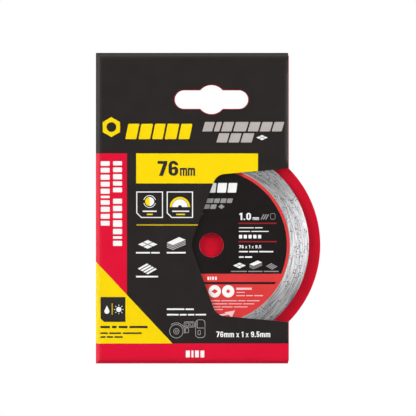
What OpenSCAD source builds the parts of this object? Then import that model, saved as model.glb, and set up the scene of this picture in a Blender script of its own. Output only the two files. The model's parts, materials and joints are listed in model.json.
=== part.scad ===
// Continuous-rim diamond blade for tile, in its hanging card pack.
// The blade lies in a nest on a red pull-out tray, and the tray slides in a folded card sleeve.
// Origin: centre of the blade's bore. +Z is up, the pack's front faces -Y, and the sleeve is open at +X.

/* [Blade] */
// Outside diameter of the blade
blade_d = 76; // [60:0.5:95]
// Diameter of the bore that takes the tool's spindle
bore_d = 9.5; // [6:0.1:12]
// Thickness of the diamond rim
rim_t = 1.0; // [0.8:0.05:1.2]
// Radial depth of the diamond rim
rim_depth = 7.2; // [4:0.1:9]
// Width of the chamfer on the rim's outer edges
rim_chamfer = 0.12; // [0.05:0.01:0.2]
// How far the rim stands proud of the steel core on each face
rim_relief = 0.1; // [0.08:0.01:0.2]
// Depth of the core's edge inside the rim
core_seat = 1.5; // [0.5:0.1:2.5]

/* [Label] */
// Thickness of the printed label
label_t = 0.08; // [0.03:0.01:0.08]
// Ring of bare core between the label and the rim
label_edge_gap = 0.3; // [0.1:0.05:1]
// Radial gap between the label's hole and the bore
label_bore_gap = 0.15; // [0.05:0.05:1]

/* [Sleeve] */
// Distance from the blade's left edge to the sleeve's left edge
side_margin = 7.1; // [4:0.1:15]
// How far the blade stands out past the sleeve's right edge
blade_out = 8.1; // [4:0.1:12]
// Distance from the blade's lowest point to the sleeve's bottom edge
bottom_margin = 8.2; // [5:0.1:20]
// Height of the header, from the blade's highest point to the sleeve's top edge
header_h = 37; // [28:0.5:60]
// Thickness of the sleeve's board
board_t = 0.45; // [0.3:0.05:0.6]
// Inside radius of the folds
fold_inner_r = 0.75; // [0.3:0.05:0.75]
// Height of the two glue flaps on the back
flap_h = 10; // [6:0.5:14]
// Chamfer at the ends of a glue flap
flap_chamfer = 5; // [2:0.5:6]
// Distance from a glue flap's ends to the sleeve's edges
flap_inset = 1.2; // [0.5:0.1:4]
// Thickness of the glue under a flap
glue_t = 0.1; // [0.05:0.05:0.2]
// Width of one line of glue
glue_w = 2.5; // [1:0.5:3]

/* [Window] */
// Gap at the sleeve's right edge between the window's corners and the tab's edge
window_tab_gap = 0.3; // [0.1:0.1:2]
// How much of the blade's height the front panel hides above and below the window
window_cover = 10.6; // [8:0.1:14]
// Distance from the blade's axis to the window's inner corners, to the right
window_inner_x = 1.9; // [-2:0.1:8]
// Distance from the bore's edge to the window's point, to the left
window_bore_gap = 3.45; // [3:0.05:8]
// Radius of the inner corners
window_corner_r = 5; // [2:0.5:7]
// Radius of the window's point
window_point_r = 9; // [4:0.5:12]

/* [Hanging slot] */
// Gap between the top glue flap and the slot
slot_flap_gap = 1.05; // [0.5:0.05:4]
// Width of the slot
slot_w = 29.2; // [20:0.2:32]
// Height of the slot's two arms
slot_h = 7.8; // [5:0.2:9]
// Diameter of the round part in the slot's middle
slot_round_d = 11.9; // [9.5:0.1:14.5]

/* [Tray] */
// Thickness of the red tray card
tray_t = 0.5; // [0.3:0.05:0.8]
// Width of the round tab beyond the blade's edge
tab_margin = 4.5; // [2:0.5:8]
// How far the tray card shows past the sleeve's right edge
tray_proud = 0.3; // [0.1:0.1:0.6]
// How much smaller the tray card's slot is, all round
tray_slot_inset = 0.3; // [0.1:0.1:0.6]
// Radial clearance round the blade in its nest
nest_gap = 0.3; // [0.2:0.05:0.6]
// How far the nest's edges hide behind the window's edges
nest_cover = 1.6; // [0.8:0.1:3]
// How far the nest board ends short of the sleeve's right edge
nest_inset = 0.8; // [0.4:0.1:2]

/* [Fits] */
// Gap in front of the blade's rim and behind it, within the nest
blade_gap = 0.1; // [0.05:0.05:0.3]
// Gap between the tray's faces and the sleeve's faces
slide_gap = 0.15; // [0.1:0.05:0.3]
// Gap between the tray's edges and the sleeve's folds
edge_gap = 0.2; // [0.15:0.05:0.4]

/* [Hidden] */
$fn = 96;

BOARD_BLACK = "#2e2b2a";
TRAY_RED = "#cd1329";
STRIP_RED = "#e31c3a";
GREYBOARD = "#9a938a";
GLUE = "#e9e2c8";
STEEL = "#c4c6c8";
SINTER = "#b4b4b2";
LABEL_BLACK = "#232020";

arc_steps = 12;

// the blade's radii and thickness
core_t = rim_t - 2 * rim_relief;
blade_r = blade_d / 2;
bore_r = bore_d / 2;
rim_inner_r = blade_r - rim_depth;
core_r = rim_inner_r + core_seat;
label_r = rim_inner_r - label_edge_gap;

// the sleeve's four edges, seen from the blade's axis
edge_right = blade_r - blade_out;
edge_left = -blade_r - side_margin;
edge_bottom = -blade_r - bottom_margin;
edge_top = blade_r + header_h;

// the pack's layers from front to back: the y at which each one starts
nest_t = rim_t + 2 * blade_gap;
nest_y = -nest_t / 2;
tray_y = nest_t / 2;
front_y = nest_y - slide_gap - board_t;
back_y = tray_y + tray_t + slide_gap;
glue_y = back_y + board_t;
flap_y = glue_y + glue_t;
spine_depth = back_y + board_t - front_y;
wall_depth = flap_y + board_t - front_y;

// where the flat panels end and the folds begin
crease_r = fold_inner_r + board_t;
flat_left = edge_left + crease_r;
flat_bottom = edge_bottom + crease_r;
flat_top = edge_top - crease_r;

// the tray's square corners have to clear the inside of the folds
corner_dy = fold_inner_r - slide_gap;
corner_reach = sqrt(pow(fold_inner_r, 2) - pow(corner_dy, 2));
tray_margin = crease_r - corner_reach + edge_gap;
tray_left = edge_left + tray_margin;
tray_bottom = edge_bottom + tray_margin;
tray_top = edge_top - tray_margin;
tray_right = edge_right + tray_proud;
tab_r = blade_r + tab_margin;
nest_r = blade_r + nest_gap;
nest_right = edge_right - nest_inset;

// the window's corners, its point and the middle of the hanging slot
window_outer_z = sqrt(pow(tab_r, 2) - pow(edge_right, 2)) - window_tab_gap;
window_inner_z = blade_r - window_cover;
window_point_x = -bore_r - window_bore_gap;
slot_z = flat_top - flap_h - slot_flap_gap - slot_round_d / 2;

// Points of an arc that rounds the corner b between a and c
function unit(v) = v / norm(v);
function corner(a, b, c, r) =
    let (u = unit(a - b), w = unit(c - b),
         half = acos(u * w) / 2,
         centre = b + unit(u + w) * r / sin(half),
         start = b + u * r / tan(half),
         turn = cross(u, w) > 0 ? -1 : 1,
         from = atan2(start[1] - centre[1], start[0] - centre[0]))
    [for (i = [0 : arc_steps])
        let (angle = from + turn * (180 - 2 * half) * i / arc_steps)
        centre + r * [cos(angle), sin(angle)]];

// A flat sheet whose outline is drawn in x and z, standing upright with its front at y
module sheet(y, t) {
    translate([0, y + t, 0]) rotate([90, 0, 0]) linear_extrude(t) children();
}

// A disc or ring on the blade's axis, from y to y + t
module ring(y, t, outer_r, inner_r) {
    sheet(y, t) difference() {
        circle(outer_r, $fn = 180);
        circle(inner_r);
    }
}

// Rectangle from its four sides
module box_outline(left, right, bottom, top) {
    translate([left, bottom]) square([right - left, top - bottom]);
}

// Hanging slot: two round-ended arms and a round middle, made smaller all round by inset
module slot_outline(inset = 0) {
    arm_r = slot_h / 2 - inset;
    arm_x = (slot_w - slot_h) / 2;
    translate([0, slot_z]) {
        circle(slot_round_d / 2 - inset);
        for (side = [-1, 1]) translate([side * arm_x, 0]) circle(arm_r);
        translate([-arm_x, -arm_r]) square([2 * arm_x, 2 * arm_r]);
    }
}

// Window: open at the right edge, with a rounded point at the left
module window_outline() {
    slope = (window_outer_z - window_inner_z) / (edge_right - window_inner_x);
    past = edge_right + 1;
    past_z = window_outer_z + slope;
    upper = [window_inner_x, window_inner_z];
    lower = [window_inner_x, -window_inner_z];
    tip = [window_point_x, 0];
    polygon(concat([[past, -past_z], [past, past_z]],
                   corner([past, past_z], upper, tip, window_corner_r),
                   corner(upper, tip, lower, window_point_r),
                   corner(tip, lower, [past, -past_z], window_corner_r)));
}

// Folded wall in section: u runs inward from the edge, v runs from front to back
module fold_section(depth) {
    module rounded(u, size, r) {
        translate([u, u]) {
            for (v = [r, size - r]) translate([r, v]) circle(r);
            translate([0, r]) square([r, size - 2 * r]);
        }
        translate([u + r, u]) square([crease_r, size]);
    }
    intersection() {
        square([crease_r, depth]);
        difference() {
            rounded(0, depth, crease_r);
            rounded(board_t, depth - 2 * board_t, fold_inner_r);
        }
    }
}

// Blade: a steel disc with the spindle's bore
module blade_core() {
    color(STEEL) ring(-core_t / 2, core_t, core_r, bore_r);
}

// Blade: sintered ring that grips the core's edge in a groove, with its edges chamfered
module diamond_rim() {
    half = rim_t / 2;
    groove = core_t / 2;
    outer = rim_chamfer;
    inner = rim_relief / 2;
    color(SINTER) rotate([90, 0, 0]) rotate_extrude($fn = 180) polygon([
        [rim_inner_r, groove], [core_r, groove], [core_r, -groove], [rim_inner_r, -groove],
        [rim_inner_r, inner - half], [rim_inner_r + inner, -half],
        [blade_r - outer, -half], [blade_r, outer - half],
        [blade_r, half - outer], [blade_r - outer, half],
        [rim_inner_r + inner, half], [rim_inner_r, half - inner]]);
}

// Blade: thin printed label on the core's front face
module blade_label() {
    color(LABEL_BLACK) ring(-core_t / 2 - label_t, label_t, label_r, bore_r + label_bore_gap);
}

// Tray: red card with the round thumb tab and the hanging slot
module tray_card() {
    color(TRAY_RED) sheet(tray_y, tray_t) difference() {
        union() {
            box_outline(tray_left, tray_right, tray_bottom, tray_top);
            circle(tab_r, $fn = 180);
        }
        slot_outline(tray_slot_inset);
    }
}

// Tray: grey board with a round nest for the blade, cut away where the window shows the tray
module nest_board() {
    clear_z = window_outer_z + nest_cover;
    color(GREYBOARD) sheet(nest_y, nest_t) difference() {
        box_outline(tray_left, nest_right, tray_bottom, tray_top);
        circle(nest_r, $fn = 180);
        box_outline(0, edge_right, -clear_z, clear_z);
        slot_outline(-tray_slot_inset);
    }
}

// Sleeve: printed front with the window and the hanging slot
module front_panel() {
    color(BOARD_BLACK) sheet(front_y, board_t) difference() {
        box_outline(flat_left, edge_right, flat_bottom, flat_top);
        window_outline();
        slot_outline();
    }
}

// Sleeve: plain back with the hanging slot
module back_panel() {
    color(BOARD_BLACK) sheet(back_y, board_t) difference() {
        box_outline(flat_left, edge_right, flat_bottom + edge_gap, flat_top - edge_gap);
        slot_outline();
    }
}

// Sleeve: folded left wall that joins the front to the back
module spine() {
    color(BOARD_BLACK) translate([edge_left, front_y, flat_bottom])
        linear_extrude(flat_top - flat_bottom) fold_section(spine_depth);
}

// Sleeve: folded wall along a horizontal edge, from the front panel to its glue flap
module end_wall() {
    translate([edge_right, front_y, 0]) rotate([0, -90, 0])
        linear_extrude(edge_right - edge_left) fold_section(wall_depth);
}

module top_wall() {
    color(BOARD_BLACK) translate([0, 0, edge_top]) mirror([0, 0, 1]) end_wall();
}

module bottom_wall() {
    color(STRIP_RED) translate([0, 0, edge_bottom]) end_wall();
}

// Sleeve: glue flap in outline, hanging down from z = 0
module flap_outline() {
    left = edge_left + flap_inset;
    right = edge_right - flap_inset;
    polygon([[left, 0], [left, flap_chamfer - flap_h], [left + flap_chamfer, -flap_h],
             [right - flap_chamfer, -flap_h], [right, flap_chamfer - flap_h], [right, 0]]);
}

module top_glue_flap() {
    color(BOARD_BLACK) sheet(flap_y, board_t) translate([0, flat_top]) flap_outline();
}

module bottom_glue_flap() {
    color(STRIP_RED) sheet(flap_y, board_t)
        translate([0, flat_bottom]) mirror([0, 1]) flap_outline();
}

// Sleeve: two lines of glue under each flap
module flap_glue() {
    run = edge_right - edge_left - 2 * (flap_inset + flap_chamfer);
    first = edge_left + flap_inset + flap_chamfer;
    for (z = [flat_top - flap_h / 3, flat_top - flap_h * 3 / 4,
              flat_bottom + flap_h / 3, flat_bottom + flap_h * 3 / 4])
        color(GLUE) sheet(glue_y, glue_t) translate([first, z - glue_w / 2]) square([run, glue_w]);
}

blade_core();
diamond_rim();
blade_label();
tray_card();
nest_board();
front_panel();
back_panel();
spine();
top_wall();
bottom_wall();
top_glue_flap();
bottom_glue_flap();
flap_glue();
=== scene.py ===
# %% [markdown]
# # A diamond blade in its hanging card pack
# The object is a 76 mm diamond blade for tile. It lies in a nest on a red card tray, and the tray slides in
# a folded, printed sleeve that hangs on a hook. The measured model comes first as a fixed frame. This lesson
# then gives each piece its look: rolled folds, die-cut edges, print, ground metal and diamond grit.

# %% Load the frame
import json
import math
import random

import bmesh
import bpy
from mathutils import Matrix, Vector

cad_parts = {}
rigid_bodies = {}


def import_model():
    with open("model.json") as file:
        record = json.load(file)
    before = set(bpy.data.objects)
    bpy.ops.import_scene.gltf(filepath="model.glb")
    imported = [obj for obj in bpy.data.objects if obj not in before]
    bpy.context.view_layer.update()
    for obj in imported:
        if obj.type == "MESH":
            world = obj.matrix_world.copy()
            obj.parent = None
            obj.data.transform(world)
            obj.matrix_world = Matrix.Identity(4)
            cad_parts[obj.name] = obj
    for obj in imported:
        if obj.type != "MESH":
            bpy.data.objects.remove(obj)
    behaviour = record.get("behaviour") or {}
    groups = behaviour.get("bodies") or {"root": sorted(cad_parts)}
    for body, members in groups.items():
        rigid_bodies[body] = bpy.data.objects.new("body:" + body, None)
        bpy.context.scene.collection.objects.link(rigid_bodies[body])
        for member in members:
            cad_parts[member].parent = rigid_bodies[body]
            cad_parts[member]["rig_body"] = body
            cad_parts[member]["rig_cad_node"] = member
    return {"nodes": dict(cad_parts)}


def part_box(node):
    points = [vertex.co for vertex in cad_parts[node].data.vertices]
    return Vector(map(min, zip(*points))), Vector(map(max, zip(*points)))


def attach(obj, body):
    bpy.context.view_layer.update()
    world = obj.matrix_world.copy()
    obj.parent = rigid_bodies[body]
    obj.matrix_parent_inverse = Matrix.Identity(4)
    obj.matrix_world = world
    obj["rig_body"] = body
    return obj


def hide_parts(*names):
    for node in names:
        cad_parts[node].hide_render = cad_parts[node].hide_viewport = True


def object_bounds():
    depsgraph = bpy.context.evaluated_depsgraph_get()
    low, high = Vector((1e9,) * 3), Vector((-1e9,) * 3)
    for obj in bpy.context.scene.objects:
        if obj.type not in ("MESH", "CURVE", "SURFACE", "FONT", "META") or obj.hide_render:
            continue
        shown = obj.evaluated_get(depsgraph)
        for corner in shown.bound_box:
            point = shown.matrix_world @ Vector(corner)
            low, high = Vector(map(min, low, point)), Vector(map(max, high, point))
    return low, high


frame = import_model()
cad_box = [list(corner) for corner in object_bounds()]
MM = 0.001
print("CAD box in mm:", [[round(v / MM, 2) for v in corner] for corner in cad_box])

# %% [markdown]
# Sizes come from the frame, so the looks always fit the measured parts. A node's box gives its sides. A
# radius comes from the nearest and the furthest vertex round the blade's axis, the Y axis through the
# origin.

# %% Read the sizes from the frame


def radii(node):
    """The smallest and largest radius of a node round the blade's axis."""
    found = [math.hypot(v.co.x, v.co.z) for v in frame["nodes"][node].data.vertices]
    return min(found), max(found)


front_low, front_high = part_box("front_panel")
spine_low, spine_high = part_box("spine")
wall_low, wall_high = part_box("top_wall")
label_low, label_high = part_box("blade_label")
core_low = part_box("blade_core")[0]
rim_low, rim_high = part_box("diamond_rim")
LEFT, RIGHT = spine_low.x, front_high.x
BOTTOM, TOP = cad_box[0][2], cad_box[1][2]
FRONT, BOARD = front_low.y, front_high.y - front_low.y
SPINE_DEPTH = spine_high.y - spine_low.y
WALL_DEPTH = wall_high.y - wall_low.y
bore_r, core_r = radii("blade_core")
rim_inner_r, blade_r = radii("diamond_rim")
label_r = radii("blade_label")[1]
print(f"sleeve {(RIGHT - LEFT) / MM:.1f} x {(TOP - BOTTOM) / MM:.1f} mm, board {BOARD / MM:.2f} mm")
print(f"blade radius {blade_r / MM:.2f}, rim from {rim_inner_r / MM:.2f}, bore {bore_r / MM:.2f} mm")

# %% [markdown]
# ## Camera, light and floor
# The camera looks straight at the pack's front. A long lens far away keeps the perspective flat, so the
# pack's sides stay out of sight. The distance follows from the width that the camera has to take in.

# %% Place the camera
LENS = 180
SENSOR = 36
VIEW_WIDTH = 162.06 * MM
VIEW_CENTRE = (-1.36 * MM, 14.47 * MM)
distance = VIEW_WIDTH * LENS / SENSOR
bpy.ops.object.camera_add(
    location=(VIEW_CENTRE[0], FRONT - distance, VIEW_CENTRE[1]), rotation=(math.radians(90), 0, 0)
)
camera = bpy.context.object
camera.data.lens = LENS
camera.data.sensor_width = SENSOR
camera.data.clip_start = 0.01
bpy.context.scene.camera = camera
bpy.context.scene.view_settings.view_transform = "Standard"
print(f"camera {distance:.3f} m in front of the pack")

# %% [markdown]
# Small helpers write every node tree below. `add` makes a node, sets its inputs, and wires in any socket
# that is passed as a value. `maths`, `mix` and `ramp` are short forms for the nodes that are used most.

# %% Helpers for node trees


def add(tree, kind, inputs=None, **settings):
    """A new node in the tree. Inputs are values, or the sockets that feed them."""
    made = tree.nodes.new(kind)
    for name, value in settings.items():
        setattr(made, name, value)
    for name, value in (inputs or {}).items():
        if isinstance(value, bpy.types.NodeSocket):
            tree.links.new(value, made.inputs[name])
        else:
            made.inputs[name].default_value = value
    return made


def maths(tree, operation, a, b=0.0):
    """The result of a Math node on two values or sockets."""
    return add(tree, "ShaderNodeMath", {0: a, 1: b}, operation=operation).outputs[0]


def mix(tree, factor, a, b, blend="MIX"):
    """The colour between a and b."""
    made = add(tree, "ShaderNodeMix", {0: factor, 6: a, 7: b}, data_type="RGBA", blend_type=blend)
    return made.outputs[2]


def ramp(tree, value, low, high, start=0.0, end=1.0):
    """A value stretched so that low becomes start and high becomes end, clamped."""
    inputs = {"Value": value, "From Min": low, "From Max": high, "To Min": start, "To Max": end}
    return add(tree, "ShaderNodeMapRange", inputs).outputs[0]


def noise(tree, vector, scale, detail=3.0, roughness=0.5):
    """The value of a noise texture."""
    inputs = {"Vector": vector, "Scale": scale, "Detail": detail, "Roughness": roughness}
    return add(tree, "ShaderNodeTexNoise", inputs).outputs[0]


def place(tree, scale=(1, 1, 1), turn=(0, 0, 0)):
    """The Object coordinates, stretched and turned."""
    coordinates = add(tree, "ShaderNodeTexCoord").outputs["Object"]
    mapping = add(tree, "ShaderNodeMapping", {"Vector": coordinates, "Scale": scale, "Rotation": turn})
    return mapping.outputs[0]


def srgb(red, green, blue):
    """A colour picked as 0-255 screen values, as the linear colour that Blender works in."""
    shares = [v / 255 for v in (red, green, blue)]
    return [s / 12.92 if s <= 0.04045 else ((s + 0.055) / 1.055) ** 2.4 for s in shares] + [1.0]


print("a screen colour of 46, 43, 42 is", [round(v, 4) for v in srgb(46, 43, 42)], "in linear values")

# %% [markdown]
# The world is soft and even. Camera and mirror rays see plain white, so the background is white and metal
# has something bright to reflect. Rays that light the object use a lower strength.

# %% Light the world
WORLD_LIGHT = 0.05


def bright_rays(tree):
    """Two shares: 1 for rays straight from the camera, and 1 for rays by way of a mirror or glass."""
    rays = add(tree, "ShaderNodeLightPath")
    seen = maths(tree, "MAXIMUM", rays.outputs["Is Glossy Ray"], rays.outputs["Is Transmission Ray"])
    return rays.outputs["Is Camera Ray"], seen


world = bpy.data.worlds.new("soft_studio")
bpy.context.scene.world = world
world.use_nodes = True
tree = world.node_tree
tree.nodes.clear()
from_camera, from_mirror = bright_rays(tree)
strength = ramp(tree, maths(tree, "MAXIMUM", from_camera, from_mirror), 0.0, 1.0, WORLD_LIGHT, 1.0)
sky = add(tree, "ShaderNodeBackground", {"Color": (1, 1, 1, 1), "Strength": strength})
add(tree, "ShaderNodeOutputWorld", {"Surface": sky.outputs[0]})
print(f"the world lights the pack at {WORLD_LIGHT}")

# %% [markdown]
# Two main lamps stand high at the left and the right. They rake over the pack, so the window's edge, the
# bore and the blade throw soft shadows. A third lights the back. A lamp could light the pack and be
# reflected in it as well, but here three large panels make the reflections alone, so that each can be set by
# itself. They draw the pale bands on the folds and on the pressed edge, and spread across the ground metal
# as one bright patch.

# %% Add the lamps
TARGET = Vector((-5 * MM, 0, 10 * MM))


def softbox(name, direction, distance, size, power, role):
    """A square lamp in a direction from the pack, which points at it. Its role is to light or to shine."""
    spot = TARGET + Vector(direction).normalized() * distance
    bpy.ops.object.light_add(type="AREA", location=spot)
    lamp = bpy.context.object
    lamp.name = name
    lamp.data.size = size
    lamp.data.energy = power
    lamp.visible_camera = False
    lamp.visible_diffuse = role == "light"
    lamp.visible_glossy = role == "shine"
    lamp.rotation_euler = (TARGET - spot).to_track_quat("-Z", "Y").to_euler()
    print(f"{name}: {power} W, {size} m across, to {role}")


softbox("key_left", (-0.80, -0.33, 0.50), 1.1, 0.26, 12.3, "light")
softbox("key_right", (0.80, -0.33, 0.50), 1.1, 0.26, 12.3, "light")
softbox("back_light", (0.20, 0.80, 0.50), 1.2, 0.50, 12.0, "light")
softbox("sheen_left", (-0.77, -0.62, 0.02), 1.0, 0.70, 20.0, "shine")
softbox("sheen_right", (0.77, -0.62, 0.04), 1.0, 0.70, 20.0, "shine")
softbox("sheen_top", (-0.04, -0.62, 0.77), 1.0, 0.50, 7.5, "shine")

# %% [markdown]
# The pack hangs, so the floor lies a hand's width below it. Close by it is a real pale surface that keeps a
# soft shadow. With distance it fades to the white of the background, so no horizon shows. How much light it
# bounces onto the pack is set apart from how pale it looks, and from below it is clear.

# %% Lay the floor
FLOOR_DROP = 0.10
FADE_START = 0.15
FADE_END = 0.75
PAPER_SEEN = (0.66, 0.66, 0.66, 1)
PAPER_BOUNCED = (0.42, 0.42, 0.42, 1)
bpy.ops.object.select_all(action="DESELECT")
bpy.ops.mesh.primitive_plane_add(size=12, location=(0, 0, BOTTOM - FLOOR_DROP))
floor = bpy.context.object
floor.name = "floor"
floor_finish = bpy.data.materials.new("floor_paper")
floor_finish.use_nodes = True
tree = floor_finish.node_tree
tree.nodes.clear()
distance_out = add(tree, "ShaderNodeVectorMath", {0: place(tree)}, operation="LENGTH").outputs["Value"]
far = ramp(tree, distance_out, FADE_START, FADE_END)
from_camera, from_mirror = bright_rays(tree)
white_share = maths(tree, "MAXIMUM", maths(tree, "MULTIPLY", from_camera, far), from_mirror)
bounced = add(tree, "ShaderNodeLightPath").outputs["Is Diffuse Ray"]
tint = mix(tree, bounced, PAPER_SEEN, PAPER_BOUNCED)
paper = add(tree, "ShaderNodeBsdfPrincipled", {"Base Color": tint, "Roughness": 0.9})
glow = add(tree, "ShaderNodeEmission", {"Color": (1, 1, 1, 1), "Strength": 1.0})
both = add(tree, "ShaderNodeMixShader", {0: white_share, 1: paper.outputs[0], 2: glow.outputs[0]})
below = add(tree, "ShaderNodeNewGeometry").outputs["Backfacing"]
clear = add(tree, "ShaderNodeBsdfTransparent")
seen = add(tree, "ShaderNodeMixShader", {0: below, 1: both.outputs[0], 2: clear.outputs[0]})
add(tree, "ShaderNodeOutputMaterial", {"Surface": seen.outputs[0]})
floor.data.materials.append(floor_finish)
print(f"floor {FLOOR_DROP / MM:.0f} mm below the pack")

# %% [markdown]
# ## Effects that several finishes share
# Each effect is a node group with named inputs and outputs, built once. It puts out colours, masks and
# heights only, and the Principled shader stays in the material.

# %% A helper for node groups
SOCKETS = {"float": "NodeSocketFloat", "colour": "NodeSocketColor"}


def new_group(name, inputs, outputs):
    """An empty node group with its sockets: inputs are (name, kind, value), outputs (name, kind)."""
    made = bpy.data.node_groups.new(name, "ShaderNodeTree")
    for label, kind, value in inputs:
        made.interface.new_socket(label, in_out="INPUT", socket_type=SOCKETS[kind]).default_value = value
    for label, kind in outputs:
        made.interface.new_socket(label, in_out="OUTPUT", socket_type=SOCKETS[kind])
    return made, add(made, "NodeGroupInput"), add(made, "NodeGroupOutput")


def finish_group(made, sink, **results):
    """Wires the results to the group's outputs, whose names they carry."""
    for label, socket in results.items():
        made.links.new(socket, sink.inputs[label])
    print("group", made.name, "gives", ", ".join(results))


print("a socket holds a " + " or a ".join(SOCKETS))

# %% [markdown]
# Printed board is never one flat colour. The ink lies a little unevenly on the board, the varnish has a fine
# orange-peel skin, and handling leaves faint rubbed lines that are duller than the rest.

# %% Group: printed film
film, source, sink = new_group(
    "printed_film",
    [("Ink", "colour", (0.5, 0.5, 0.5, 1)), ("Gloss", "float", 0.35), ("Mottle", "float", 0.1)],
    [("Color", "colour"), ("Roughness", "float"), ("Height", "float")],
)
cloudy = noise(film, place(film), 140, 4, 0.6)
speckle = noise(film, place(film), 2600, 2, 0.5)
level = maths(film, "ADD", ramp(film, cloudy, 0.3, 0.7, -0.5, 0.5), ramp(film, speckle, 0.3, 0.7, -0.5, 0.5))
lift = maths(film, "ADD", maths(film, "MULTIPLY", level, source.outputs["Mottle"]), 1.0)
grey = add(film, "ShaderNodeCombineColor", {0: lift, 1: lift, 2: lift}).outputs[0]
tone = mix(film, 1.0, source.outputs["Ink"], grey, "MULTIPLY")
rubbed = noise(film, place(film, (30, 30, 900), (0, 0.5, 0)), 1, 3, 0.6)
rub_mask = maths(film, "MULTIPLY", ramp(film, rubbed, 0.62, 0.74), ramp(film, cloudy, 0.5, 0.6))
dull = maths(film, "ADD", source.outputs["Gloss"], maths(film, "MULTIPLY", rub_mask, 0.12))
patchy = maths(film, "MULTIPLY", maths(film, "SUBTRACT", cloudy, 0.5), 0.16)
skin = noise(film, place(film), 1500, 2, 0.5)
finish_group(film, sink, Color=tone, Roughness=maths(film, "ADD", dull, patchy), Height=skin)

# %% [markdown]
# Where board is folded or handled, the ink cracks and the pale board shows through in fine flecks. The mask
# reads how far a point lies from the sleeve's outer edges, and a fine noise breaks it up. The upper left
# corner, which is knocked most, wears most.

# %% Group: edge wear
WEAR_WIDTH = 0.55 * MM
CORNER_WIDTH = 4 * MM
wear, source, sink = new_group("edge_wear", [("Amount", "float", 0.5)], [("Mask", "float")])
split = add(wear, "ShaderNodeSeparateXYZ", {0: place(wear)})
from_left = maths(wear, "SUBTRACT", split.outputs["X"], LEFT)
from_top = maths(wear, "SUBTRACT", TOP, split.outputs["Z"])
from_bottom = maths(wear, "SUBTRACT", split.outputs["Z"], BOTTOM)
nearest = maths(wear, "MINIMUM", from_left, maths(wear, "MINIMUM", from_top, from_bottom))
near = ramp(wear, nearest, 0.0, WEAR_WIDTH, 1.0, 0.0)
by_left = ramp(wear, from_left, 0.0, CORNER_WIDTH, 1.0, 0.0)
by_top = ramp(wear, from_top, 0.0, CORNER_WIDTH, 1.0, 0.0)
at_corner = ramp(wear, maths(wear, "ADD", by_left, by_top), 1.5, 2.0)
flecks = ramp(wear, noise(wear, place(wear), 900, 5, 0.7), 0.56, 0.66)
patches = ramp(wear, noise(wear, place(wear), 60, 2, 0.5), 0.45, 0.65)
worn_edge = maths(wear, "MULTIPLY", near, maths(wear, "MULTIPLY", flecks, patches))
worn_corner = maths(wear, "MULTIPLY", at_corner, maths(wear, "MULTIPLY", near, flecks))
where = maths(wear, "ADD", worn_edge, worn_corner)
finish_group(wear, sink, Mask=maths(wear, "MULTIPLY", where, source.outputs["Amount"]))

# %% [markdown]
# Raw board is pressed from short paper fibres. Noise that is stretched in two directions gives the fibres,
# and a sparse one gives the darker flecks of recycled stock.

# %% Group: board fibre
fibre, source, sink = new_group(
    "board_fibre", [("Pulp", "colour", (0.5, 0.5, 0.5, 1))], [("Color", "colour"), ("Height", "float")]
)
along = noise(fibre, place(fibre, (400, 1500, 2600), (0, 0.4, 0)), 1, 4, 0.6)
across = noise(fibre, place(fibre, (2600, 1500, 400), (0, -0.5, 0)), 1, 4, 0.6)
strands = maths(fibre, "MULTIPLY", maths(fibre, "ADD", along, across), 0.5)
flecks = ramp(fibre, noise(fibre, place(fibre), 1900, 2, 0.4), 0.68, 0.74)
pale = mix(fibre, 0.25, source.outputs["Pulp"], (1, 1, 1, 1))
darkened = mix(fibre, 1.0, source.outputs["Pulp"], (0.55, 0.52, 0.48, 1), "MULTIPLY")
pulp = mix(fibre, ramp(fibre, strands, 0.22, 0.78), darkened, pale)
pulp = mix(fibre, maths(fibre, "MULTIPLY", flecks, 0.35), pulp, (0.12, 0.10, 0.09, 1))
finish_group(fibre, sink, Color=pulp, Height=strands)

# %% [markdown]
# The blade's rim and core are ground with a wheel that crosses them at a slant, which leaves fine lines. The
# angle round the axis, plus a lean that grows with the radius, gives that slant. Sine and cosine of the
# angle feed the noise, so the lines meet without a seam.

# %% Group: ground lines
ground, source, sink = new_group(
    "ground_lines",
    [("Lean", "float", 160.0), ("Fineness", "float", 5.0), ("Length", "float", 3000.0)],
    [("Fine", "float"), ("Broad", "float")],
)
split = add(ground, "ShaderNodeSeparateXYZ", {0: place(ground)})
angle = maths(ground, "ARCTAN2", split.outputs["Z"], split.outputs["X"])
flat = add(ground, "ShaderNodeCombineXYZ", {"X": split.outputs["X"], "Z": split.outputs["Z"]})
radius = add(ground, "ShaderNodeVectorMath", {0: flat.outputs[0]}, operation="LENGTH").outputs["Value"]
leaning = maths(ground, "ADD", angle, maths(ground, "MULTIPLY", radius, source.outputs["Lean"]))
outward = maths(ground, "MULTIPLY", radius, source.outputs["Length"])
lines = []
for share in (1.0, 0.62):
    size = maths(ground, "MULTIPLY", source.outputs["Fineness"], share)
    east = maths(ground, "MULTIPLY", maths(ground, "COSINE", leaning), size)
    north = maths(ground, "MULTIPLY", maths(ground, "SINE", leaning), size)
    rise = maths(ground, "MULTIPLY", outward, share)
    run = add(ground, "ShaderNodeCombineXYZ", {"X": east, "Y": north, "Z": rise})
    lines.append(noise(ground, run.outputs[0], 1.0, 2, 0.6))
finish_group(ground, sink, Fine=lines[0], Broad=lines[1])

# %% [markdown]
# ## Materials
# `finish` makes a material and sets its plain values on the shader's own sockets, and `feed` wires in what
# changes over the surface. Printed materials differ only in ink, gloss, mottle and wear, so one function
# makes them all.

# %% Helpers for materials
BARE_BOARD = (0.42, 0.40, 0.38, 1)


def finish(name, **values):
    """A new material, its tree and its Principled shader, with plain values set."""
    made = bpy.data.materials.new(name)
    made.use_nodes = True
    tree = made.node_tree
    shader = tree.nodes["Principled BSDF"]
    for label, value in values.items():
        shader.inputs[label.replace("_", " ")].default_value = value
    return made, tree, shader


def feed(tree, shader, **sockets):
    """Wires sockets to the shader's inputs, whose names they carry."""
    for label, socket in sockets.items():
        tree.links.new(socket, shader.inputs[label.replace("_", " ")])


def use(tree, group, **values):
    """Places a node group in a tree. `add` has to know the group before it can set its inputs."""
    return add(tree, "ShaderNodeGroup", values, node_tree=group)


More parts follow.
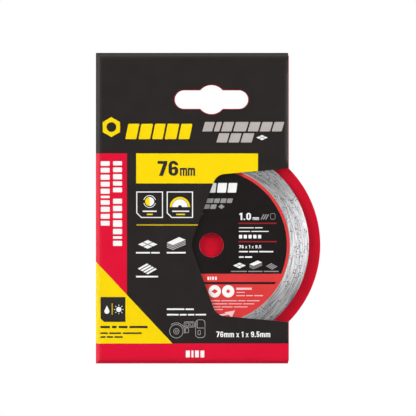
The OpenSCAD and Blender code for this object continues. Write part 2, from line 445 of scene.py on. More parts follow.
def bump(tree, shader, height, depth, strength=1.0):
    """Feeds a height into the shader's normal. The depth is in metres."""
    made = add(tree, "ShaderNodeBump", {"Height": height, "Distance": depth, "Strength": strength})
    feed(tree, shader, Normal=made.outputs[0])


def printed(name, ink, gloss=0.36, mottle=0.1, worn=0.0, ior=1.22):
    """Varnished print on board, in one ink."""
    made, tree, shader = finish(name, IOR=ior)
    skin = use(tree, film, Ink=ink, Gloss=gloss, Mottle=mottle)
    colour = skin.outputs["Color"]
    if worn:
        mask = use(tree, wear, Amount=worn).outputs["Mask"]
        colour = mix(tree, mask, colour, BARE_BOARD)
    feed(tree, shader, Base_Color=colour, Roughness=skin.outputs["Roughness"])
    bump(tree, shader, skin.outputs["Height"], 0.004 * MM, 0.6)
    return made


def board(name, pulp, roughness=0.85):
    """Unprinted board."""
    made, tree, shader = finish(name, Roughness=roughness, IOR=1.3)
    fibres = use(tree, fibre, Pulp=pulp)
    feed(tree, shader, Base_Color=fibres.outputs["Color"])
    bump(tree, shader, fibres.outputs["Height"], 0.02 * MM, 0.7)
    return made


print("materials share", ", ".join(group.name for group in (film, wear, fibre, ground)))

# %% [markdown]
# Each ink gets its own colour, gloss and mottle. The sleeve's three inks are worn at the edges, and the rest
# are not. The black is set a little darker than it looks, because its varnish adds a pale sheen.

# %% Make the printed finishes
YELLOW = (0.975, 0.70, 0.0, 1)
card_black = printed("card_black", (0.0131, 0.0102, 0.0092, 1), 0.40, 0.12, 0.5, 1.19)
card_red = printed("card_red", (0.745, 0.0024, 0.0335, 1), 0.40, 0.05, 0.5, 1.19)
card_yellow = printed("card_yellow", YELLOW, 0.42, 0.03, 0.5, 1.16)
tray_red = printed("tray_red", (0.585, 0.0012, 0.019, 1), 0.45, 0.06, 0.0, 1.16)
ink_white = printed("ink_white", srgb(246, 246, 245), 0.45, 0.02)
ink_silver = printed("ink_silver", srgb(183, 176, 172), 0.38, 0.08)
ink_yellow = printed("ink_yellow", YELLOW, 0.42, 0.03, 0.0, 1.16)
ink_gold = printed("ink_gold", srgb(190, 165, 0), 0.42, 0.06)
ink_dark = printed("ink_dark", (0.014, 0.011, 0.010, 1), 0.45, 0.1)
ink_line = printed("ink_line", srgb(196, 194, 192), 0.45, 0.06)
label_black = printed("label_black", (0.0095, 0.0071, 0.0071, 1), 0.36, 0.12, 0.0, 1.15)
label_red = printed("label_red", (0.725, 0.047, 0.047, 1), 0.38, 0.05, 0.0, 1.15)
label_dark_red = printed("label_dark_red", srgb(150, 22, 34), 0.4, 0.06)
ink_grey = printed("ink_grey", srgb(150, 149, 148), 0.4, 0.06)
ink_pale = printed("ink_pale", srgb(244, 206, 206), 0.4, 0.04)
raw_board = board("raw_board", srgb(150, 145, 139))
grey_board = board("grey_board", srgb(150, 145, 138))
print(len([m for m in bpy.data.materials if m.use_nodes]), "materials so far")

# %% [markdown]
# The rim is diamond grit sintered in metal powder. It is duller and paler than steel, ground flat, with
# darker lines and small open pits. The lines carry painted shade: they are painted darkest high and low on
# the blade and palest at a level just above the bore, and the pits are painted near black as painted shade.
# Such lines stretch a highlight across them, which the shader's anisotropy does, with a tangent that runs
# round the axis.

# %% Make the rim's finish
# Painted shade on the rim: none near this level, full beyond the second reach.
UNSHADED_LEVEL = 7 * MM
UNSHADED_REACH = 10 * MM
FULL_SHADE_REACH = 28 * MM
sinter, tree, shader = finish("rim_sinter", Metallic=1.0, Anisotropic=0.8, Anisotropic_Rotation=0.25)
marks = use(tree, ground)
fine = ramp(tree, marks.outputs["Fine"], 0.36, 0.58)
broad = ramp(tree, marks.outputs["Broad"], 0.34, 0.60)
# Painted shade: further above or below a level just above the bore, the lines are painted darker and the
# broad ones weigh more.
above_bore = add(tree, "ShaderNodeSeparateXYZ", {0: place(tree)}).outputs["Z"]
off_level = maths(tree, "SUBTRACT", above_bore, UNSHADED_LEVEL)
darkened = ramp(tree, maths(tree, "ABSOLUTE", off_level), UNSHADED_REACH, FULL_SHADE_REACH)
broad_share = maths(tree, "MULTIPLY", broad, ramp(tree, darkened, 0.0, 1.0, 0.25, 0.6))
fine_share = maths(tree, "MULTIPLY", fine, ramp(tree, darkened, 0.0, 1.0, 0.75, 0.4))
lines = maths(tree, "ADD", fine_share, broad_share)
cloud = ramp(tree, noise(tree, place(tree), 120, 3), 0.3, 0.7)
base = mix(tree, cloud, srgb(144, 144, 145), srgb(153, 153, 154))
# Painted shade: the line colour goes from mid grey to near black as the painted shade grows.
line_tone_with_painted_shade = mix(tree, darkened, srgb(88, 88, 90), srgb(24, 24, 26))
colour = mix(tree, lines, line_tone_with_painted_shade, base)
# Painted shade: small pits, chosen by Voronoi cells and a sparse noise, are painted near black for the shade
# inside them, and sunk a little in the bump.
face = place(tree, turn=(math.radians(90), 0, 0))
cells = add(tree, "ShaderNodeTexVoronoi", {"Vector": face, "Scale": 1000}, voronoi_dimensions="2D")
pit = ramp(tree, cells.outputs["Distance"], 0.20, 0.28, 1.0, 0.0)
chosen = ramp(tree, noise(tree, place(tree), 300, 2), 0.55, 0.58)
pits_and_painted_shade = maths(tree, "MULTIPLY", pit, chosen)
colour = mix(tree, maths(tree, "MULTIPLY", pits_and_painted_shade, 0.85), colour, srgb(46, 45, 45))
height = maths(tree, "SUBTRACT", lines, maths(tree, "MULTIPLY", pits_and_painted_shade, 1.5))
bump(tree, shader, height, 0.020 * MM, 0.8)
round_axis = add(tree, "ShaderNodeTangent", direction_type="RADIAL", axis="Y").outputs[0]
feed(tree, shader, Base_Color=colour, Tangent=round_axis, Roughness=ramp(tree, lines, 0.0, 1.0, 0.38, 0.56))
print("rim finish:", len(tree.nodes), "nodes")

# %% [markdown]
# The steel of the core is smoother, with finer lines from the same group. The grit is dark, and the glue is
# a milky dab. A soft noise varies the tone of each, as no real surface is one flat colour.

# %% Make the steel, the grit and the glue
steel, tree, shader = finish("core_steel", Metallic=1.0, Roughness=0.3, Anisotropic=0.5)
marks = use(tree, ground, Lean=8.0, Fineness=420.0, Length=5200.0)
tone = mix(tree, ramp(tree, marks.outputs["Fine"], 0.3, 0.7), srgb(120, 121, 124), srgb(160, 161, 163))
feed(tree, shader, Base_Color=tone)
bump(tree, shader, marks.outputs["Fine"], 0.004 * MM, 0.6)

grit, tree, shader = finish("diamond_grit", Roughness=0.35, IOR=1.4)
tone = mix(tree, ramp(tree, noise(tree, place(tree), 700, 1), 0.4, 0.6), srgb(40, 38, 36), srgb(78, 74, 70))
feed(tree, shader, Base_Color=tone)

glue, tree, shader = finish("glue", Roughness=0.35, IOR=1.45)
tone = mix(tree, noise(tree, place(tree), 500, 3), srgb(214, 206, 178), srgb(236, 231, 214))
feed(tree, shader, Base_Color=tone)
bump(tree, shader, noise(tree, place(tree), 900, 2), 0.02 * MM, 0.5)
print("made", steel.name, grit.name, glue.name)

# %% [markdown]
# ## Working helpers
# Every operator acts on what is selected, so each helper starts from a clean selection. `pick` selects in
# code, by the place of a vertex, an edge or a face.

# %% Helpers to select and cut


def activate(piece, mode="OBJECT"):
    """Selects one piece alone, in the mode."""
    if bpy.context.object and bpy.context.object.mode != "OBJECT":
        bpy.ops.object.mode_set(mode="OBJECT")
    bpy.ops.object.select_all(action="DESELECT")
    piece.select_set(True)
    bpy.context.view_layer.objects.active = piece
    if mode == "EDIT":
        bpy.ops.object.mode_set(mode="EDIT")
        bpy.ops.mesh.select_all(action="SELECT")


def pick(piece, kind, test):
    """In edit mode, selects the vertices, edges or faces whose centre passes the test."""
    bpy.ops.mesh.select_mode(type=kind)
    bpy.ops.mesh.select_all(action="DESELECT")
    mesh = bmesh.from_edit_mesh(piece.data)
    for part in {"VERT": mesh.verts, "EDGE": mesh.edges, "FACE": mesh.faces}[kind]:
        corners = [part] if kind == "VERT" else part.verts
        if test(sum((v.co for v in corners), Vector()) / len(corners)):
            part.select_set(True)
    mesh.select_flush_mode()
    bmesh.update_edit_mesh(piece.data)


def cut(piece, point, normal, **rest):
    """Cuts the whole piece with a plane. clear_inner or clear_outer drops a side, and use_fill closes it."""
    activate(piece, "EDIT")
    bpy.ops.mesh.bisect(plane_co=point, plane_no=normal, threshold=1e-8, **rest)
    bpy.ops.object.mode_set(mode="OBJECT")


print("ready:", activate.__name__, pick.__name__, cut.__name__)

# %% [markdown]
# Real edges are never razor sharp. A bevel could be modelled by hand on each edge, but a modifier finds them
# all by their angle, and is then applied.

# %% Helpers to soften and smooth


def apply_modifiers(piece):
    """Applies every modifier of a piece."""
    activate(piece)
    for modifier in list(piece.modifiers):
        bpy.ops.object.modifier_apply(modifier=modifier.name)


def soften(piece, width, segments=1):
    """Gives every sharp edge a small bevel, as a die-cut or tumbled edge has."""
    bevel = piece.modifiers.new("edges", "BEVEL")
    bevel.width = width
    bevel.segments = segments
    bevel.limit_method = "ANGLE"
    bevel.angle_limit = math.radians(40)
    apply_modifiers(piece)


def smooth(piece, angle=30):
    """Smooth shading across edges flatter than the angle."""
    activate(piece)
    bpy.ops.object.shade_smooth_by_angle(angle=math.radians(angle))


print("ready:", soften.__name__, smooth.__name__)

# %% [markdown]
# A piece whose measured shape is already right is copied from its node. Every piece is painted face by face,
# and given to the body that it rides on.

# %% Helpers to copy, paint and settle


def copy_of(node, name):
    """A copy of a CAD node to work on. Its loose triangles are merged and its flat faces made whole."""
    activate(frame["nodes"][node])
    bpy.ops.object.duplicate()
    piece = bpy.context.object
    piece.name = name
    piece.parent = None
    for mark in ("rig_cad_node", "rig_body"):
        del piece[mark]
    piece.data.materials.clear()
    activate(piece, "EDIT")
    bpy.ops.mesh.customdata_custom_splitnormals_clear()
    bpy.ops.mesh.remove_doubles(threshold=0.001 * MM)
    bpy.ops.mesh.dissolve_limited(angle_limit=math.radians(1))
    bpy.ops.object.mode_set(mode="OBJECT")
    return piece


def paint(piece, materials, choose=None):
    """Gives a piece its materials. choose picks one for each face from its centre in mm and its normal."""
    for material in materials:
        piece.data.materials.append(material)
    for face in piece.data.polygons:
        face.material_index = materials.index(choose(face.center / MM, face.normal)) if choose else 0


def settle(piece, body, slot=None, *nodes):
    """Lets a finished piece ride its body, and lets it stand for its CAD nodes by hiding them. The slot is
    not used.
    """
    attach(piece, body)
    if nodes:
        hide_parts(*nodes)
    print(f"{piece.name}: {len(piece.data.polygons)} faces, rides on {body}")


print(len(frame["nodes"]), "measured nodes can be copied or replaced")

# %% [markdown]
# ## The tray and the nest
# The tray is one sheet of red card with a round tab. The nest is thicker grey board glued on it, and holds
# the blade. Both are die-cut, so a copy of the measured shape only needs its edges softened a little. The
# sleeve's folds roll in over the nest at the left, top and bottom, so its front edge is pressed down at a
# slant there.

# %% Soften the tray and the nest
EDGE = 0.09 * MM
tray = copy_of("tray_card", "tray_sheet")
soften(tray, EDGE)
paint(tray, [tray_red])
settle(tray, "tray", "tray_red", "tray_card")

nest = copy_of("nest_board", "nest_sheet")
soften(nest, EDGE)
nest_low, nest_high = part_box("nest_board")
SLANT_WIDTH = 1.3 * MM
SLANT_DEPTH = 0.7 * MM
for corner, out in (
    ((nest_low.x + SLANT_WIDTH, nest_low.y, 0), (-SLANT_DEPTH, -SLANT_WIDTH, 0)),
    ((0, nest_low.y, nest_high.z - SLANT_WIDTH), (0, -SLANT_WIDTH, SLANT_DEPTH)),
    ((0, nest_low.y, nest_low.z + SLANT_WIDTH), (0, -SLANT_WIDTH, -SLANT_DEPTH)),
):
    cut(nest, corner, Vector(out).normalized(), clear_outer=True, use_fill=True)
paint(nest, [grey_board])
settle(nest, "tray", "greyboard", "nest_board")

# %% [markdown]
# ## The blade
# Core, rim and label are all round, so each is turned as on a lathe. The section starts as one vertex, which
# is extruded from corner to corner. The closed section is then spun once round the Y axis and its ends are
# merged.

# %% A helper for turned pieces


def turned(name, section, steps=256):
    """A piece spun from a closed section. The section's corners are (radius, y) pairs."""
    bpy.ops.object.select_all(action="DESELECT")
    bpy.ops.mesh.primitive_plane_add(size=1 * MM)
    piece = bpy.context.object
    piece.name = name
    bpy.ops.object.mode_set(mode="EDIT")
    bpy.ops.mesh.select_mode(type="VERT")
    bpy.ops.mesh.merge(type="CENTER")
    bpy.ops.transform.translate(value=(section[0][0], section[0][1], 0))
    for (r0, y0), (r1, y1) in zip(section, section[1:]):
        bpy.ops.mesh.extrude_vertices_move(TRANSFORM_OT_translate={"value": (r1 - r0, y1 - y0, 0)})
    bpy.ops.mesh.select_all(action="SELECT")
    bpy.ops.mesh.edge_face_add()
    bpy.ops.mesh.delete(type="ONLY_FACE")
    bpy.ops.mesh.select_all(action="SELECT")
    bpy.ops.mesh.spin(steps=steps, angle=math.tau, center=(0, 0, 0), axis=(0, 1, 0))
    bpy.ops.mesh.select_all(action="SELECT")
    bpy.ops.mesh.remove_doubles(threshold=0.0005 * MM)
    bpy.ops.mesh.normals_make_consistent(inside=False)
    bpy.ops.object.mode_set(mode="OBJECT")
    return piece


def both_sides(half):
    """A whole section from the corners of its front half, mirrored to the back."""
    return half + [(r, -y) for r, y in reversed(half)]


print("a disc's section has", len(both_sides([(bore_r, core_low.y), (core_r, core_low.y)])), "corners")

# %% [markdown]
# The core is a steel disc with lightly chamfered bore edges. The rim grips it in a groove, and stands a
# little proud of it on both sides. Its outer corners are worn round.

# %% Turn the core and the rim
CHAMFER = 0.05 * MM
core = turned("core_disc", both_sides([
    (bore_r, core_low.y + CHAMFER),
    (bore_r + CHAMFER, core_low.y),
    (core_r, core_low.y),
]))
paint(core, [steel])
smooth(core)
settle(core, "blade", "core_steel", "blade_core")

rim = turned("rim_ring", both_sides([
    (core_r, core_low.y),
    (rim_inner_r, core_low.y),
    (rim_inner_r + 0.04 * MM, rim_low.y + 0.03 * MM),
    (rim_inner_r + 0.14 * MM, rim_low.y),
    (blade_r - 0.22 * MM, rim_low.y),
    (blade_r - 0.09 * MM, rim_low.y + 0.04 * MM),
    (blade_r - 0.02 * MM, rim_low.y + 0.13 * MM),
    (blade_r, rim_low.y + 0.26 * MM),
]))
paint(rim, [sinter])
smooth(rim, 40)
settle(rim, "blade", "rim_sinter", "diamond_rim")

# %% [markdown]
# Diamond crystals sit in the rim. Each is a small faceted ball sunk almost whole into the metal, and its
# corners stand out by up to about 0.15 mm. They gather in places, as grit does when the powder is mixed.
# They could be placed one by one, but a loop with its own dice places hundreds, and gives the same rim every
# time.

# %% Scatter the grit
GRIT_COUNT = 330
PROUD = 0.03 * MM
FRONT_PROUD = 0.04 * MM
FACET = 0.8
GRIT_LOW = rim_inner_r + 0.5 * MM
GRIT_HIGH = blade_r - 0.5 * MM
dice = random.Random(76)
bpy.ops.object.select_all(action="DESELECT")
first_spot = (0, rim_low.y + 0.18 * MM, -35 * MM)
bpy.ops.mesh.primitive_ico_sphere_add(subdivisions=1, radius=0.2 * MM, location=first_spot)
crystals = bpy.context.object
crystals.name = "rim_grit"
bpy.ops.object.transform_apply(location=True)
bpy.ops.object.mode_set(mode="EDIT")
for _ in range(GRIT_COUNT):
    radius = dice.uniform(0.16, 0.38) * MM
    gathered = dice.random() < 0.4
    angle = dice.gauss(0.08, 0.26) if gathered else dice.uniform(0, math.tau)
    out = dice.gauss(34.4, 1.1) * MM if gathered else dice.uniform(GRIT_LOW, GRIT_HIGH)
    out = min(max(out, GRIT_LOW), GRIT_HIGH)
    across = rim_low.y - PROUD + radius * FACET - FRONT_PROUD
    face = dice.random()
    if face > 0.85:
        out = blade_r + PROUD - radius * FACET
        across = dice.uniform(-0.08, 0.08) * MM
    elif face > 0.65:
        across = rim_high.y - radius * FACET
    spot = (out * math.cos(angle), across, out * math.sin(angle))
    tilt = [dice.uniform(0, math.pi) for _ in range(3)]
    bpy.ops.mesh.primitive_ico_sphere_add(subdivisions=1, radius=radius, location=spot, rotation=tilt)
bpy.ops.object.mode_set(mode="OBJECT")
paint(crystals, [grit])
settle(crystals, "blade", "rim_sinter")

# %% [markdown]
# The label is a thin printed film on the core. Its print is black, with a narrow red ring at the edge and a
# red segment at the bottom. The section has a corner at the ring, and one straight cut makes the segment's
# edge.

# %% Turn the label
RING_R = 29.35 * MM
SEGMENT_Z = -11.15 * MM
hole_r = bore_r + 0.03 * MM
label = turned("label_film", [
    (hole_r, label_high.y),
    (hole_r, label_low.y + 0.01 * MM),
    (hole_r + 0.02 * MM, label_low.y),
    (RING_R, label_low.y),
    (label_r - 0.02 * MM, label_low.y),
    (label_r, label_low.y + 0.01 * MM),
    (label_r, label_high.y),
])
cut(label, (0, 0, SEGMENT_Z), (0, 0, 1))


def label_print(centre, normal):
    """The ink at a place on the label."""
    if math.hypot(centre.x, centre.z) * MM > RING_R or centre.z * MM < SEGMENT_Z:
        return label_red
    return label_black


paint(label, [label_black, label_red], label_print)
settle(label, "blade", "label_print", "blade_label")

# %% [markdown]
# ## The sleeve
# The sleeve is one folded board. A fold isn't sharp: the board rolls over in two or three millimetres. A box
# with a bevel would give an even round, so each folded edge is a strip of board that is spun a quarter turn,
# run straight across the pack's thickness, and spun again. The front roll is then stretched sideways,
# because the crease there is scored wide, and Solidify makes the strip board.

# %% A helper for folded edges
ROLL = 2.6 * MM
ROLL_DEPTH = 1.2 * MM
LEAD = 0.3 * MM
REACH = ROLL + LEAD
TINY = 1e-7


def folded_edge(name, length, depth):
    """A fold that faces -X, from z 0 up, with its outer side at x 0. Its ends are short flat leads."""
    bpy.ops.object.select_all(action="DESELECT")
    bpy.ops.mesh.primitive_plane_add(size=1, rotation=(math.radians(90), 0, 0))
    piece = bpy.context.object
    piece.name = name
    piece.scale = (LEAD, length, 1)
    piece.location = (ROLL + LEAD / 2, FRONT, length / 2)
    bpy.ops.object.transform_apply(location=True, rotation=True, scale=True)
    activate(piece, "EDIT")
    pick(piece, "EDGE", lambda at: abs(at.x - ROLL) < TINY)
    quarter = {"steps": 10, "angle": math.radians(90), "axis": (0, 0, 1)}
    bpy.ops.mesh.spin(center=(ROLL, FRONT + ROLL_DEPTH, 0), **quarter)
    bpy.ops.mesh.extrude_region_move(TRANSFORM_OT_translate={"value": (0, depth - 2 * ROLL_DEPTH, 0)})
    bpy.ops.mesh.spin(center=(ROLL, FRONT + depth - ROLL_DEPTH, 0), **quarter)
    bpy.ops.mesh.extrude_region_move(TRANSFORM_OT_translate={"value": (LEAD, 0, 0)})
    middle = FRONT + depth / 2
    pick(piece, "VERT", lambda at: at.x < ROLL - TINY and at.y < middle)
    bpy.ops.transform.resize(value=(ROLL / ROLL_DEPTH, 1, 1), center_override=(ROLL, 0, 0))
    pick(piece, "VERT", lambda at: at.x < ROLL + TINY and at.y > middle)
    bpy.ops.transform.translate(value=(ROLL_DEPTH - ROLL, 0, 0))
    bpy.ops.object.mode_set(mode="OBJECT")
    wall = piece.modifiers.new("board", "SOLIDIFY")
    wall.thickness = BOARD
    wall.offset = -1
    apply_modifiers(piece)
    return piece


def lay(piece, turn, location):
    """Turns a fold about Y and moves it to its edge."""
    activate(piece)
    piece.rotation_euler = (0, math.radians(turn), 0)
    piece.location = location
    bpy.ops.object.transform_apply(location=True, rotation=True)


print(f"a fold takes up {REACH / MM:.1f} mm of a panel's edge")

# %% [markdown]
# The three folds meet in mitred corners, each cut at 45 degrees and closed. The print runs on round the
# edges: black at the top, red and yellow down the side, red at the bottom. On the back only the bottom band
# goes on. A face is printed if it looks away from the hub of the roll, and a cut end or the inside stays raw
# board.

# %% Make the spine's fold
BAND_TOP = 35.74
BAND_BOTTOM = -38.3
STRIP_RIGHT = -32.95
DIAGONAL_TOP = -6.4
DIAGONAL_RIGHT = -15.2
DIAGONAL_FALL = (DIAGONAL_TOP - BAND_BOTTOM) / (DIAGONAL_RIGHT - LEFT / MM)
HUB = 2.7
BACK_STARTS = 0.9
SLOPE_CUT = ((LEFT, 0, DIAGONAL_TOP * MM), Vector((DIAGONAL_FALL, 0, 1)).normalized())


def side_print(x, z):
    """The ink of the coloured side at a place on the front, in mm, or None where the card is black."""
    if z < BAND_BOTTOM:
        return card_red
    if z < DIAGONAL_TOP - (x - LEFT / MM) * DIAGONAL_FALL:
        return card_yellow
    if x < STRIP_RIGHT and z < BAND_TOP:
        return card_red
    return None


def is_outside(centre, normal, hub):
    """True if a fold's face looks away from the inside of the roll."""
    return normal.dot(centre - hub) > 0


def spine_print(centre, normal):
    """Print on the spine's outer skin, raw board inside and at the ends."""
    hub = Vector((LEFT / MM + HUB, (FRONT + SPINE_DEPTH / 2) / MM, centre.z))
    if not is_outside(centre, normal, hub) or abs(normal.z) > 0.5:
        return raw_board
    if centre.y > BACK_STARTS:
        return card_red if centre.z < BAND_BOTTOM else card_black
    return side_print(centre.x, centre.z) or card_black


spine = folded_edge("sleeve_spine", TOP - BOTTOM, SPINE_DEPTH)
lay(spine, 0, (LEFT, 0, BOTTOM))
cut(spine, (LEFT, 0, TOP), (1, 0, 1), clear_outer=True, use_fill=True)
cut(spine, (LEFT, 0, BOTTOM), (1, 0, -1), clear_outer=True, use_fill=True)
cut(spine, (0, 0, BAND_TOP * MM), (0, 0, 1))
cut(spine, (0, 0, BAND_BOTTOM * MM), (0, 0, 1))
cut(spine, *SLOPE_CUT)
smooth(spine)
paint(spine, [card_black, card_red, card_yellow, raw_board], spine_print)
settle(spine, "sleeve", "sleeve_black", "spine")

# %% [markdown]
# The top and bottom folds are the same strip, laid on its side and cut at its left end to meet the spine.

# %% Make the top and bottom folds
for name, node, turn, corner, lean, ink, slot in (
    ("sleeve_top_fold", "top_wall", 90, (LEFT, 0, TOP), (1, 0, 1), card_black, "sleeve_black"),
    ("sleeve_bottom_fold", "bottom_wall", -90, (RIGHT, 0, BOTTOM), (1, 0, -1), card_red, "sleeve_red"),
):
    fold = folded_edge(name, RIGHT - LEFT, WALL_DEPTH)
    lay(fold, turn, corner)
    cut(fold, (LEFT, 0, corner[2]), lean, clear_inner=True, use_fill=True)
    smooth(fold)
    inward = -HUB if turn > 0 else HUB
    hub_y = (FRONT + WALL_DEPTH / 2) / MM
    hub_z = corner[2] / MM + inward

    def fold_print(centre, normal):
        """Ink outside, raw board inside and at the ends."""
        hub = Vector((centre.x, hub_y, hub_z))
        return ink if is_outside(centre, normal, hub) and abs(normal.x) < 0.5 else raw_board

    paint(fold, [ink, raw_board], fold_print)
    settle(fold, "sleeve", slot, node)

# %% [markdown]
# The front is a copy of the measured panel. Its die-cut edges are softened first. Then it is cut back to
# where the folds begin, and cut along the borders of the print, so that each face lies under one ink.

# %% Helpers for the panels
CUT_EDGE = 0.11 * MM
PANEL_LEFT = -29.35
PANEL_RIGHT = 18.1
PANEL_BOTTOM = 24.05
TRIMS = {
    "left": ((LEFT + REACH, 0, 0), (1, 0, 0), "clear_inner"),
    "top": ((0, 0, TOP - REACH), (0, 0, 1), "clear_outer"),
    "bottom": ((0, 0, BOTTOM + REACH), (0, 0, 1), "clear_inner"),
}


def panel_of(node, name, *sides):
    """A measured panel with soft edges, cut back to where the folds begin."""
    piece = copy_of(node, name)
    soften(piece, CUT_EDGE)
    for side in sides:
        point, normal, dropped = TRIMS[side]
        cut(piece, point, normal, use_fill=True, **{dropped: True})
    return piece


def front_print(centre, normal):
    """Print on the front skin, raw board on cut edges and inside."""
    if normal.y > -0.5:
        return raw_board
    panel = PANEL_LEFT < centre.x < PANEL_RIGHT and PANEL_BOTTOM < centre.z < BAND_TOP
    return side_print(centre.x, centre.z) or (card_yellow if panel else card_black)


print("panels are cut back at", ", ".join(TRIMS))

# %% [markdown]
# The upper right edge is pressed thin, where the knife came down on an open end of the board. The panel is
# cut into narrow steps there, and each step's front vertices are pushed in a little further than the last.
# The press starts above the window and fades out below the top fold.

# %% Make the front
PRESS_WIDTH = 1.9 * MM
PRESS_DEPTH = 0.42 * MM
PRESS_LEAD = 0.3 * MM
PRESS_STEPS = 5
PRESS_FOOT = 32.0
PRESS_FADE = (TOP - REACH) / MM - 6.0
PRESS_TOP = TOP - REACH - 1e-5
front = panel_of("front_panel", "sleeve_front", "left", "top", "bottom")
for x in (STRIP_RIGHT, PANEL_LEFT, PANEL_RIGHT):
    cut(front, (x * MM, 0, 0), (1, 0, 0))
for z in (BAND_TOP, BAND_BOTTOM, PANEL_BOTTOM, PRESS_FOOT - 1, PRESS_FOOT + 1, PRESS_FADE):
    cut(front, (0, 0, z * MM), (0, 0, 1))
cut(front, *SLOPE_CUT)
start = RIGHT - PRESS_WIDTH
cut(front, (start - PRESS_LEAD, 0, 0), (1, 0, 0))
for step in range(PRESS_STEPS):
    cut(front, (start + PRESS_WIDTH * step / PRESS_STEPS, 0, 0), (1, 0, 0))
activate(front, "EDIT")
skin_y = FRONT + BOARD * 0.55
for step in range(1, PRESS_STEPS + 1):
    low = start + PRESS_WIDTH * (step - 0.5) / PRESS_STEPS
    high = low + PRESS_WIDTH / PRESS_STEPS
    pick(front, "VERT", lambda at: low < at.x < high and at.y < skin_y and PRESS_FOOT * MM < at.z < PRESS_TOP)
    bpy.ops.transform.translate(value=(0, PRESS_DEPTH * (step / PRESS_STEPS) ** 2, 0))
bpy.ops.object.mode_set(mode="OBJECT")
smooth(front, 12)
paint(front, [card_black, card_red, card_yellow, raw_board], front_print)
settle(front, "sleeve", "sleeve_black", "front_panel")

# %% [markdown]
# The back and the two glue flaps are made in the same way. The back is black, with the red band at the
# bottom. The flaps lie outside it, and the glue under them is kept as it was measured.

# %% Make the back and the flaps


def back_print(ink_above, ink_below):
    """Print on the back skin."""

    def choose(centre, normal):
        if normal.y < 0.5:
            return raw_board
        return ink_below if centre.z < BAND_BOTTOM else ink_above

    return choose


for node, name, side, inks, slot in (
    ("back_panel", "sleeve_back", "left", [card_black, card_red], "sleeve_black"),
    ("top_glue_flap", "flap_top", "top", [card_black], "sleeve_black"),
    ("bottom_glue_flap", "flap_bottom", "bottom", [card_red], "sleeve_red"),
):
    panel = panel_of(node, name, side)
    if len(inks) == 2:
        cut(panel, (0, 0, BAND_BOTTOM * MM), (0, 0, 1))
    paint(panel, inks + [raw_board], back_print(inks[0], inks[-1]))
    settle(panel, "sleeve", slot, node)

dabs = frame["nodes"]["flap_glue"]
dabs.data.materials.clear()
dabs.data.materials.append(glue)
print("glue lines kept from the frame")

# %% [markdown]
# ## Print
# Marks are printed flat on the board, but a thin piece of ink is easier to keep sharp than a texture. Each
# colour on each body is one piece. Its shapes are closed outlines on a flat curve, which fills them and
# leaves holes where one outline lies in another. Outlines are written in millimetres across and up, as on a
# drawing. The words of a real pack are left out: plain blocks and bars stand where they would be.

# %% Helpers for outlines


def turned_point(x, z, angle, radius):
    """A point at an angle and a distance from another."""
    return x + radius * math.cos(angle), z + radius * math.sin(angle)


def arc(x, z, radius, start, end, steps=24):
    """Points along an arc, in degrees."""
    angles = [math.radians(start + (end - start) * i / steps) for i in range(steps + 1)]
    return [turned_point(x, z, angle, radius) for angle in angles]


def disc(x, z, radius, steps=40):
    """A full circle."""
    return arc(x, z, radius, 0, 360, steps)[:-1]


def band(x, z, outer, inner, start, end):
    """Part of a ring."""
    return arc(x, z, outer, start, end) + arc(x, z, inner, end, start)


def bar(x0, x1, z0, z1, slant=0.0, soft=0.0):
    """A bar. Slant moves its top edge to the right, and soft rounds its corners."""
    points = [(x0, z0), (x1, z0), (x1, z1), (x0, z1)]
    if soft:
        near, far, low, high = x0 + soft, x1 - soft, z0 + soft, z1 - soft
        corners = ((far, low, -90), (far, high, 0), (near, high, 90), (near, low, 180))
        points = [point for x, z, start in corners for point in arc(x, z, soft, start, start + 90, 4)]
    return [(x + slant * (z - z0) / (z1 - z0), z) for x, z in points]


def row(x0, x1, z0, z1, widths, gap, slant=0.0, soft=0.0):
    """A row of bars between x0 and x1, with relative widths."""
    unit = (x1 - x0 - gap * (len(widths) - 1)) / sum(widths)
    made = []
    for width in widths:
        made.append(bar(x0, x0 + unit * width, z0, z1, slant, soft))
        x0 += unit * width + gap
    return made


def text_line(x0, x1, z, widths, thick=0.42, gap=0.5):
    """A line of small text as thin bars, round its middle height."""
    return row(x0, x1, z - thick / 2, z + thick / 2, widths, gap)


def upright(loops):
    """The same outlines, turned to run up the side."""
    return [[(-z, x) for x, z in loop] for loop in loops]


def rhombus(x, z, half_width, half_height):
    """A square tile seen at a slant."""
    return [(x - half_width, z), (x, z - half_height), (x + half_width, z), (x, z + half_height)]


def moved(loops, x, z, size=1.0):
    """Outlines drawn round 0, 0, moved to a place."""
    return [[(x + px * size, z + pz * size) for px, pz in loop] for loop in loops]


print("a bar has", len(bar(0, 4, 0, 1, soft=0.2)), "points")

# %% [markdown]
# The size of the blade stands in heavy digits. Blender's own font is too light for that, so they are drawn
# here as outlines in a box 10 high. A closed digit has a second outline for its hole, and the nine is a six
# that is turned round.

# %% Draw the digits
SPACE = 3
SIX = arc(3, 7, 3, 0, 180) + arc(3, 3, 3, 180, 360) + arc(3.6, 3.9, 2.4, 0, 90, 10)
SIX += [(2.15, 5.6)] + arc(3.05, 7.2, 0.9, 180, 0, 8)
SIX_HOLE = bar(2.15, 3.85, 1.9, 4.4, 0, 0.8)
FIVE = [(0.5, 10), (5.7, 10), (5.7, 8.0), (2.4, 8.0), (2.3, 6.3)] + arc(2.95, 3.3, 3.1, 88, -170, 22)
FIVE += arc(2.95, 3.2, 0.95, 190, 440, 14) + [(2.2, 4.4), (0.2, 4.7)]
CROSS = [(0, 0), (1.9, 0), (2.9, 2), (3.9, 0), (5.8, 0), (3.85, 3.5)]
CROSS += [(5.7, 7), (3.8, 7), (2.9, 5.1), (2, 7), (0.1, 7), (1.95, 3.5)]
UNIT = [(0, 0), (2.1, 0), (2.1, 5.4), (3.5, 5.4), (3.5, 0)]
UNIT += [(5.5, 0), (5.5, 5.4), (6.9, 5.4), (6.9, 0), (9, 0), (9, 6.1), (8.0, 7.2), (0, 7.2)]
